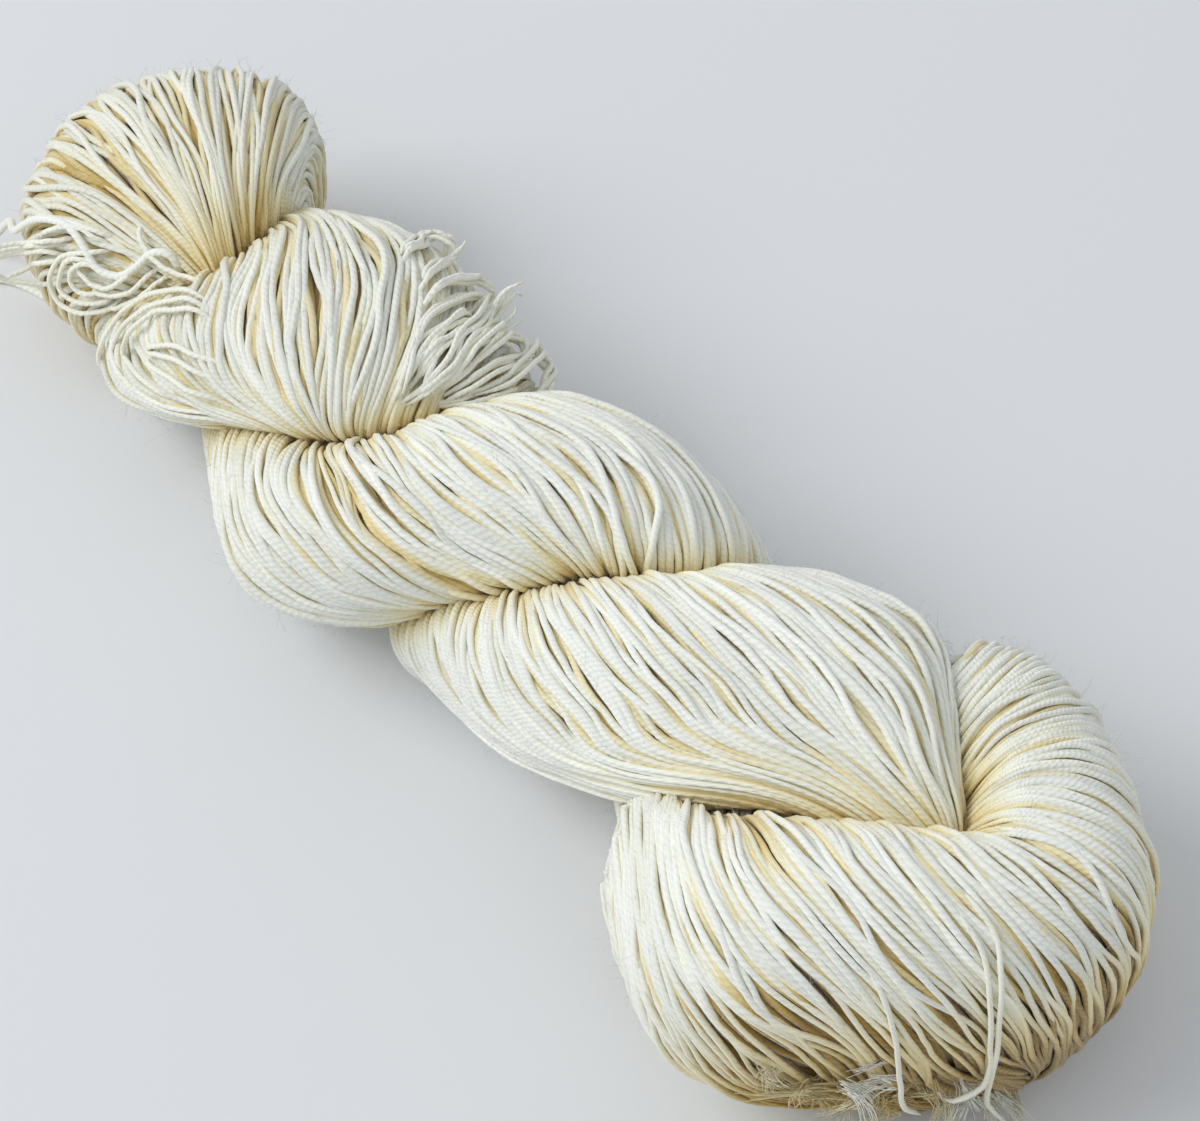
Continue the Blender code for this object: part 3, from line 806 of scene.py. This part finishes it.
def layStrands(sheet, layer):
    rng = np.random.default_rng(layer["seed"] + 5 * len(sheet["name"]) + ord(sheet["name"][-1]))
    even = np.linspace(sheet["ends"], 1 - sheet["ends"], int(layer["points"] * sheet["length"]))
    bunched = (1 - np.cos(math.pi * even)) / 2
    share = even + (bunched - even) * sheet["bunching"]
    names, across, crowding, lengths = sheetGrid(sheet, share)

    starts = np.arange(layer["pitch"] / 2, across[-1], layer["pitch"])
    starts = starts + rng.normal(0, winding["startSpread"], len(starts)) * layer["pitch"]
    nearest = np.clip(np.searchsorted(across, starts), 0, len(crowding) - 1)
    crowd = np.clip(crowding[nearest], winding["crowdLeast"], 1)
    a = np.broadcast_to(starts[:, None], crowd.shape)
    b = lengths[nearest]

    where = sheet["path"](np.interp(a, across, names), share)
    gaping = sheet["gaping"](*where)
    mess = sheet["mess"](*where)
    side = layer["clump"] * sharedDrift(rng, winding["clumpAcross"], winding["clumpAlong"])(a, b)
    side = side + gaping * layer["gape"] * np.sin(a * 2 * math.pi / winding["bundle"])
    side = side * mess + layer["stray"] * ownDrift(rng, b, winding["strayAlong"])
    side = side + layer["kink"] * ownDrift(rng, b, winding["kinkAlong"])
    up = layer["uneven"] * sharedDrift(rng, winding["lumpAcross"], winding["clumpAlong"])(a, b)
    up = up + winding["strayUp"] * ownDrift(rng, b, winding["strayAlong"])
    up = up + layer["kink"] * ownDrift(rng, b, winding["kinkAlong"])
    parted = np.zeros(crowd.shape)
    fade = winding["partingFade"]
    for strand, first, last, opening in winding["partings"].get(sheet["name"], ()):
        away = a - np.interp(strand, names, across)
        near = opening * np.exp(-(away / winding["partingWidth"]) ** 2)
        near = near * smoothStep(first, first + fade, share) * smoothStep(last, last - fade, share)
        side = side + near * np.tanh(away * winding["partingEdge"])
        parted = parted + near
    raised = rng.random((len(starts), 1)) < layer["raised"] * mess.max()
    side = side + raised * winding["raisedSide"] * ownDrift(rng, b, winding["strayAlong"])
    up = up + raised * winding["raisedUp"]

    spots = np.interp(a + side, across, names)
    turned, share = sheet["path"](spots, share)
    heap = rng.uniform(0, 1, (len(starts), 1)) * (1 - crowd) * winding["pile"]
    depth = layer["depth"] - up * np.sqrt(crowd) + heap
    depth = depth + parted * winding["partingDepth"]
    normals = sheetNormals(sheet, turned, share)
    points = sheet["surface"](turned, share) - normals * depth[..., None]
    points[..., 2] = np.maximum(points[..., 2], layer["thickness"] * winding["floorShare"])

    # a strand thins where it is crowded and where the winding parts
    thick = 1 + winding["thickSpread"] * rng.normal(0, 1, (len(starts), 1)) + np.zeros_like(crowd)
    base, gain = winding["crowdThick"]
    squeeze = np.clip(base + gain * crowd, winding["crowdThin"], 1)
    thick = np.clip(thick, *winding["thickRange"]) * squeeze
    thick = thick * (1 - winding["gapingThin"] * gaping)
    # painted shade: deeper layers, creases, the underside of the fat end, sunk strands, gaps and
    # partings are drawn yellower and browner
    shadeAndTint = layer["tint"] + sheet["tint"](turned, share)
    shadeAndTint = shadeAndTint + winding["sunkShade"] * np.clip(depth - layer["depth"], 0, winding["sunkMost"])
    shadeAndTint = shadeAndTint + gaping * winding["gapingShade" if layer["tint"] else "gapingOuterShade"]
    shadeAndTint = shadeAndTint + parted * winding["partingShade"]
    shadeAndTint = shadeAndTint + winding["farTint"] * smoothStep(*winding["farHalf"], points[..., 0])
    # each strand's own random tone, with painted shade that darkens the far half
    toneAndShade = rng.normal(0, 1, len(starts))
    toneAndShade = toneAndShade - winding["farShade"] * smoothStep(*winding["farHalf"], points[..., 0].mean(axis=1))
    return points, normals, thick, shadeAndTint, toneAndShade


sheets = [plySheet("one"), plySheet("two"), foldSheet("near"), foldSheet("far")]
outer = []
for layerName, layer in layers.items():
    for sheet in sheets:
        name = sheet["name"] + layerName.title()
        bundle = layStrands(sheet, layer)
        piece = asPiece(name, strandMesh(name, bundle, layer["thickness"], layer["sides"]), woolFinish)
        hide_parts("hank")
        if layerName == "outer":
            outer.append(bundle)
        print(name, len(bundle[0]), "strands,", len(piece.data.polygons), "faces")
print("winding laid")

# what lies under the last layer that is modelled strand by strand

bed = {
    "depth": 3.4,
    "merge": 0.05,
    "roughness": 0.95,
    "noiseScale": 400.0,
    # painted shade: the wool under the strands is drawn ochre, mottled at random
    "dark": (0.66, 0.48, 0.22),
    "light": (0.88, 0.70, 0.40),
}


def hankCopy():
    bm = bmesh.new()
    bm.from_mesh(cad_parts["hank"].data)
    bmesh.ops.remove_doubles(bm, verts=bm.verts, dist=bed["merge"] * mm)
    bm.normal_update()
    return bm


def innerFinish():
    material = bpy.data.materials.new("woolInShade")
    material.use_nodes = True
    nodes = material.node_tree.nodes
    links = material.node_tree.links
    shader = nodes["Principled BSDF"]
    shader.inputs["Roughness"].default_value = bed["roughness"]
    place = nodes.new("ShaderNodeTexCoord")
    noise = nodes.new("ShaderNodeTexNoise")
    noise.inputs["Scale"].default_value = bed["noiseScale"]
    links.new(place.outputs["Object"], noise.inputs["Vector"])
    ramp = nodes.new("ShaderNodeValToRGB")
    ramp.color_ramp.elements[0].color = (*bed["dark"], 1)
    ramp.color_ramp.elements[1].color = (*bed["light"], 1)
    links.new(noise.outputs[0], ramp.inputs[0])
    links.new(ramp.outputs[0], shader.inputs["Base Color"])
    return material


def makeBed():
    bm = hankCopy()
    shift = [vert.normal * -bed["depth"] * mm for vert in bm.verts]
    for vert, move in zip(bm.verts, shift):
        vert.co += move
    mesh = bpy.data.meshes.new("windingBed")
    bm.to_mesh(mesh)
    bm.free()
    mesh.shade_smooth()
    asPiece("windingBed", mesh, innerFinish())


makeBed()
print("bed laid")

# loose strands, each followed in the picture: across, down, and its lift above the hank there

loose = {
    "steps": 30,
    "sides": 1,
    "thickness": 1.2,
    "kink": 0.05,
    "kinkReach": 40.0,
    "kinkAlong": 7.0,
    "tint": 0.08,
    "joins": 1,            # an end that is lifted no more than this joins the winding
    "sink": -2.0,          # and dives this deep
    # this share of a loose strand thins out at each end
    "tapered": 0.08,
    "tip": 0.5,
    "copies": {"slackFan": 3},  # neighbours beside each followed strand
    "copyDrift": (1.2, 1.2, 0.36),
    "copyStart": (0, 0.25),
    "copyEnd": (0.7, 1),
    "copyBend": (-0.3, 0.3),
    "slackFan": (
        ((394, 412, 1), (400, 385, 2), (411, 350, 2), (425, 328, 2), (445, 311, 2), (463, 301, 2),
         (480, 299, 1), (487, 306, 0)),
        ((418, 312, 1), (430, 299, 1.5), (445, 291, 2), (460, 289, 2), (474, 291, 2),
         (484, 296, 2), (485, 304, 1)),
        ((414, 299, 0), (425, 284, 1.5), (437, 271, 2), (448, 261, 2), (455, 255, 2), (459, 248, 2)),
        ((404, 266, 0.5), (408, 256, 1.5), (415, 247, 2), (424, 242, 2), (434, 241, 2),
         (443, 246, 2), (446, 254, 1)),
        ((399, 406, 1), (415, 392, 2), (430, 378, 2.5), (443, 361, 3), (455, 347, 3),
         (470, 331, 3), (484, 315, 3), (494, 302, 3), (503, 296, 3), (513, 291, 3)),
        ((402, 407, 1), (419, 396, 2), (436, 382, 2.5), (450, 365, 3), (463, 350, 3),
         (477, 335, 3), (489, 320, 3), (499, 306, 3), (508, 299, 3), (514, 301, 2)),
        ((420, 401, 1), (445, 380, 2), (462, 358, 2.5), (478, 341, 3), (493, 328, 3),
         (502, 322, 3), (505, 315, 3)),
        ((425, 403, 1), (452, 382, 2), (472, 361, 2.5), (488, 346, 3), (500, 337, 3), (510, 330, 3)),
        ((436, 405, 1), (462, 386, 2), (480, 372, 3), (497, 364, 3), (508, 363, 3),
         (516, 357, 3), (512, 347, 3), (502, 341, 2.5), (488, 339, 2), (474, 343, 1)),
        ((448, 402, 1), (467, 393, 2), (480, 387, 2.5), (491, 381, 3), (505, 371, 3.5),
         (515, 364, 4), (524, 368, 4), (531, 376, 4), (533, 385, 3), (531, 397, 1)),
        ((430, 408, 0.5), (455, 399, 1.5), (478, 392, 2), (498, 388, 2), (514, 391, 1)),
        ((398, 400, 1), (410, 372, 1.5), (424, 348, 2), (440, 330, 2), (458, 317, 2), (472, 312, 1)),
        ((404, 398, 1), (420, 372, 1.5), (436, 352, 2), (452, 338, 2), (468, 327, 2), (480, 320, 1)),
        ((410, 402, 1), (430, 384, 1.5), (450, 370, 2), (468, 352, 2), (486, 337, 2), (496, 331, 1)),
    ),
    "farSide": (
        ((139, 222, 0.5), (144, 232, 1.5), (152, 246, 2), (163, 262, 2), (178, 271, 2),
         (192, 274, 1.5), (206, 279, 0.5)),
        ((36, 238, 0.5), (50, 231, 1.5), (68, 229, 2), (86, 231, 2), (100, 236, 1.5), (112, 246, 1)),
        ((32, 222, 0.5), (48, 217, 1.5), (66, 219, 1.5), (84, 224, 1.5), (101, 231, 1), (114, 240, 0.5)),
        ((112, 249, 0.5), (98, 250, 1.5), (80, 252, 1.5), (64, 258, 1.5), (57, 270, 2), (58, 284, 2),
         (65, 297, 2), (78, 305, 2), (95, 308, 1.5), (112, 305, 1), (124, 298, 0)),
        ((106, 262, 0.5), (90, 257, 1.5), (74, 260, 2), (66, 270, 2), (66, 284, 2), (74, 294, 2),
         (90, 299, 1.5), (106, 298, 1), (118, 292, 0)),
        ((110, 272, 0), (96, 265, 1.5), (82, 266, 2), (76, 276, 2), (82, 287, 2), (96, 291, 1.5),
         (110, 288, 0.5)),
        ((128, 263, 0), (134, 270, 1.5), (126, 279, 2), (112, 283, 2), (98, 280, 2), (86, 272, 1.5),
         (78, 262, 1), (70, 255, 0)),
        ((158, 268, 0), (148, 276, 1.5), (134, 287, 2), (118, 292, 2), (102, 291, 1.5), (88, 289, 1)),
        ((170, 275, 0), (158, 282, 1.5), (144, 291, 2), (130, 298, 2), (117, 303, 1.5), (104, 309, 1)),
        ((74, 240, 0.5), (56, 239, 2), (36, 238, 4), (18, 240, 5), (4, 245, 6)),
        ((66, 256, 0.5), (52, 251, 2), (36, 248, 4), (22, 250, 5), (12, 257, 5), (9, 264, 4),
         (16, 271, 3), (30, 277, 2), (46, 282, 1), (60, 286, 0)),
        ((70, 262, 0.5), (50, 262, 2), (34, 266, 3), (20, 273, 3)),
        ((64, 247, 0.5), (44, 243, 3), (28, 243, 4), (12, 249, 5), (2, 258, 5)),
    ),
    "besideHollow": (
        ((210, 300, 0), (192, 296, 1.5), (172, 296, 1.5), (152, 301, 1.5), (134, 311, 1.5),
         (119, 326, 1.5), (108, 346, 1.5), (106, 366, 1), (112, 386, 0.5)),
        ((212, 309, 0), (194, 304, 1.5), (174, 305, 1.5), (156, 310, 1.5), (140, 319, 1.5),
         (126, 333, 1.5), (118, 350, 1.5), (120, 370, 1), (132, 390, 0.5)),
        ((214, 320, 0), (198, 314, 1.5), (180, 313, 1.5), (160, 318, 2), (146, 327, 2),
         (134, 340, 2), (130, 354, 1.5), (138, 370, 1), (152, 386, 0.5), (172, 402, 0)),
        ((140, 350, 0), (156, 346, 1.2), (178, 348, 1.4), (199, 355, 1.2), (220, 366, 0)),
        ((141, 352, 0), (157, 353, 1.2), (178, 360, 1.4), (200, 372, 1.2), (222, 388, 0)),
        ((140, 354, 0), (154, 362, 1.2), (173, 374, 1.3), (194, 388, 1.2), (218, 404, 0)),
    ),
    "bulbEnds": (
        ((950, 872, 0), (978, 908, 0), (996, 940, 0.4), (1001, 970, 1), (1000, 1000, 1.4),
         (996, 1040, 2), (990, 1066, 2.5), (985, 1082, 3), (990, 1094, 3), (1002, 1105, 3),
         (1014, 1114, 3)),
        ((936, 888, 0), (964, 922, 0), (982, 950, 0.4), (988, 978, 1), (990, 1005, 1.4),
         (989, 1040, 2), (983, 1062, 2.5), (972, 1076, 3), (958, 1084, 3), (946, 1086, 3),
         (938, 1082, 2)),
        ((862, 960, 0), (880, 990, 0), (892, 1022, 0.4), (898, 1048, 1), (901, 1072, 2), (906, 1092, 3),
         (917, 1104, 2)),
    ),
    # short ragged ends: across, down, way they point in degrees, how far, how brown
    "tufts": (
        (770, 1070, 165, 30, 0.3), (792, 1082, 160, 32, 0.45), (816, 1085, 20, 32, 0.5),
        (838, 1082, 165, 32, 0.3), (860, 1078, 15, 30, 0.0), (882, 1074, 150, 28, 0.0),
        (900, 1094, 20, 36, 0.55), (922, 1090, 40, 34, 0.5), (944, 1096, 120, 30, 0.25),
        (966, 1084, 50, 32, 0.0), (992, 1096, 35, 36, 0.05), (1014, 1100, 70, 28, 0.3),
    ),
}


def surfaceTree():
    bm = hankCopy()
    tree = BVHTree.FromBMesh(bm)
    bm.free()
    return tree


hankSurface = surfaceTree()


def pictureRay(across, down):
    # from the camera through a place in the picture
    back, right, up = viewAxes()
    wide, high = view["size"]
    scale = view["sensor"] / view["lens"] / wide
    way = right * (across - wide / 2) * scale - up * (down - high / 2) * scale - back
    return Vector(view["target"]) + back * view["distance"], way.normalized()


def onHank(across, down):
    start, way = pictureRay(across, down)
    return hankSurface.ray_cast(start, way)


def followed(rows):
    # the points of one loose strand; past the hank's outline it keeps its distance
    rows = [list(row) for row in rows]
    for row in (rows[0], rows[-1]):
        if row[2] <= loose["joins"] and len(rows) > 1:
            row[2] = loose["sink"]
    hits = [onHank(across, down) for across, down, lift in rows]
    known = [k for k, hit in enumerate(hits) if hit[0] is not None]
    points = []
    for k, (across, down, lift) in enumerate(rows):
        spot, normal, face, distance = hits[k]
        if spot is None:
            near = hits[min(known, key=lambda other: abs(other - k))] if known else None
            start, way = pictureRay(across, down)
            reach = near[3] if near else start.z / -way.z
            spot = start + way * reach
            normal = Vector((0, 0, 1)) if near is None else near[1]
        point = np.array(spot) / mm + np.array(form["middle"]) + np.array(normal) * lift
        point[2] = max(point[2], yarn["floor"])
        points.append(point)
    return points


def layLoose(name, routes):
    rng = np.random.default_rng(len(name))
    routes = [followed(rows) for rows in routes]
    strands = [evenSteps(points, count=loose["steps"]) for points in routes]
    share = np.linspace(0, 1, loose["steps"])
    for points in routes * loose["copies"].get(name, 0):
        # a neighbour: it runs beside the strand for a part of the way
        first = rng.uniform(*loose["copyStart"])
        last = rng.uniform(*loose["copyEnd"])
        line = evenSteps(points, count=loose["steps"] * 4)
        picked = np.linspace(first * len(line), last * (len(line) - 1), loose["steps"])
        line = line[picked.astype(int)]
        way = rng.normal(0, 1, 3)
        turn = rng.normal(0, 1, 3)
        bend = np.sin(math.pi * (share + rng.uniform(*loose["copyBend"])))
        drift = way * bend[:, None] + turn * share[:, None]
        strands.append(line + drift * loose["copyDrift"])
    strands = np.stack(strands)
    reach = np.repeat(share[None, :] * loose["kinkReach"], len(strands), 0)
    for axis in range(3):
        strands[..., axis] += loose["kink"] * ownDrift(rng, reach, loose["kinkAlong"])
    strands[..., 2] = np.maximum(strands[..., 2], yarn["floor"])
    points, normals, thick, shadeAndTint, toneAndShade = plainBundle(strands, shadeAndTint=loose["tint"])
    ends = np.clip(np.minimum(share, 1 - share) / loose["tapered"], loose["tip"], 1)
    bundle = (points, normals, thick * ends, shadeAndTint, toneAndShade)
    asPiece(name, strandMesh(name, bundle, loose["thickness"], loose["sides"]), woolFinish)


for name in ("slackFan", "farSide", "besideHollow", "bulbEnds"):
    layLoose(name, loose[name])
print("loose strands laid")

# ragged ends under the fat end, and the fuzz of the wool

tufts = {
    "fibres": 48,
    "wisp": 12,            # fibres that lie together
    "thickness": 0.32,
    "points": 9,
    "tip": 0.35,
    "lift": 1.5,
    "leanSpread": 24,
    "fibreLean": 7,
    "wispCurl": 0.6,
    "wispSpread": 1.2,
    "fibreCurl": 0.10,
    "fibreSpread": 0.35,
    "span": (0.45, 1.1),
    "rootShift": (-0.7, -0.1),
    "pixels": 5.0,         # of the picture, in each millimetre
    "floor": 0.4,
    "tintSpread": 0.05,
    "seed": 11,
}


def makeTufts():
    rng = np.random.default_rng(tufts["seed"])
    strands, shadeAndTint = [], []
    back, right, up = viewAxes()
    share = np.linspace(0, 1, tufts["points"])[:, None]
    for across, down, way, reach, brown in loose["tufts"]:
        root = followed([(across, down, tufts["lift"])])[0]
        for k in range(tufts["fibres"]):
            if k % tufts["wisp"] == 0:
                lean = way + rng.normal(0, tufts["leanSpread"])
                wispCurl = rng.normal(0, tufts["wispCurl"], 3)
                wispRoot = rng.normal(0, tufts["wispSpread"], 3)
            angle = math.radians(lean + rng.normal(0, tufts["fibreLean"]))
            lie = np.array(right) * math.cos(angle) - np.array(up) * math.sin(angle)
            span = reach * rng.uniform(*tufts["span"]) / tufts["pixels"]
            curl = (wispCurl + rng.normal(0, tufts["fibreCurl"], 3)) * span
            start = root + wispRoot + rng.normal(0, tufts["fibreSpread"], 3)
            start = start + lie * span * rng.uniform(*tufts["rootShift"])
            line = start + lie * span * share + curl * share**2
            line[:, 2] = np.maximum(line[:, 2], tufts["floor"])
            strands.append(line)
            shadeAndTint.append(brown + rng.normal(0, tufts["tintSpread"]))
    points, normals, thick, tuftShadeAndTint, toneAndShade = plainBundle(strands)
    thick = thick * np.linspace(1, tufts["tip"], tufts["points"])
    tuftShadeAndTint = tuftShadeAndTint + np.array(shadeAndTint)[:, None]
    bundle = (points, normals, thick, tuftShadeAndTint, toneAndShade)
    asPiece("raggedEnds", strandMesh("raggedEnds", bundle, tufts["thickness"], 0), woolFinish)


fuzz = {
    "fibres": 3600,
    "thickness": 0.05,
    "length": (1.2, 3.6),
    "steps": 4,
    "lowest": -0.6,        # none on strands that face further down than this
    "deepest": 0.25,       # nor on those that lie deep
    "root": 0.42,
    "outwards": (0.2, 0.9),
    "spread": 0.35,
    "floor": 0.1,
    "tint": -0.05,
    "seed": 12,
}


def makeFuzz(bundles):
    rng = np.random.default_rng(fuzz["seed"])
    points = np.concatenate([bundle[0][:, 1:-1].reshape(-1, 3) for bundle in bundles])
    normals = np.concatenate([bundle[1][:, 1:-1].reshape(-1, 3) for bundle in bundles])
    ways = [np.gradient(bundle[0], axis=1)[:, 1:-1].reshape(-1, 3) for bundle in bundles]
    shadeAndTint = np.concatenate([bundle[3][:, 1:-1].ravel() for bundle in bundles])
    outside = np.flatnonzero((normals[:, 2] > fuzz["lowest"]) & (shadeAndTint < fuzz["deepest"]))
    picked = rng.choice(outside, fuzz["fibres"], replace=False)
    out = normals[picked]
    start = points[picked] + out * layers["outer"]["thickness"] * fuzz["root"]
    way = np.concatenate(ways)[picked]
    way = way / np.maximum(np.linalg.norm(way, axis=1, keepdims=True), yarn["tiny"])
    lie = way * rng.uniform(-1, 1, (len(picked), 1))
    lie = lie + out * rng.uniform(*fuzz["outwards"], (len(picked), 1))
    lie += rng.normal(0, fuzz["spread"], lie.shape)
    lie /= np.linalg.norm(lie, axis=1, keepdims=True)
    span = rng.uniform(*fuzz["length"], (len(picked), 1))
    curl = rng.normal(0, fuzz["spread"], lie.shape) * span
    share = np.linspace(0, 1, fuzz["steps"])
    strands = start[:, None] + lie[:, None] * (span * share)[..., None]
    strands = strands + curl[:, None] * (share**2)[:, None]
    strands[..., 2] = np.maximum(strands[..., 2], fuzz["floor"])
    bundle = plainBundle(strands, shadeAndTint=fuzz["tint"])
    asPiece("woolFuzz", strandMesh("woolFuzz", bundle, fuzz["thickness"], 0), woolFinish)


makeTufts()
makeFuzz(outer)
print("ragged ends and fuzz made")

# table and light

studio = {
    "table": (0.77, 0.785, 0.81),
    "tableSize": 3.0,
    "tableRoughness": 0.6,
    "sky": (0.93, 0.965, 1.0),
    "skyStrength": 0.60,
    "key": {"place": (-1.4, -1.25, 1.7), "size": 1.5, "power": 33.0},
}


def makeTable():
    bm = bmesh.new()
    bmesh.ops.create_grid(bm, x_segments=2, y_segments=2, size=studio["tableSize"])
    mesh = bpy.data.meshes.new("tableTop")
    bm.to_mesh(mesh)
    bm.free()
    material = bpy.data.materials.new("paleTable")
    material.use_nodes = True
    shader = material.node_tree.nodes["Principled BSDF"]
    shader.inputs["Base Color"].default_value = (*studio["table"], 1)
    shader.inputs["Roughness"].default_value = studio["tableRoughness"]
    mesh.materials.append(material)
    top = bpy.data.objects.new("tableTop", mesh)
    bpy.context.scene.collection.objects.link(top)


def makeLight(name, place, size, power):
    data = bpy.data.lights.new(name, "AREA")
    data.size = size
    data.energy = power
    lamp = bpy.data.objects.new(name, data)
    lamp.location = place
    lamp.rotation_euler = Vector(place).to_track_quat("Z", "Y").to_euler()
    bpy.context.scene.collection.objects.link(lamp)


makeTable()
makeLight("key", **studio["key"])
world = bpy.data.worlds.new("studio")
world.use_nodes = True
world.node_tree.nodes["Background"].inputs["Color"].default_value = (*studio["sky"], 1)
world.node_tree.nodes["Background"].inputs["Strength"].default_value = studio["skyStrength"]
bpy.context.scene.world = world
bpy.context.scene.view_settings.view_transform = "Standard"
print("table and lights set")
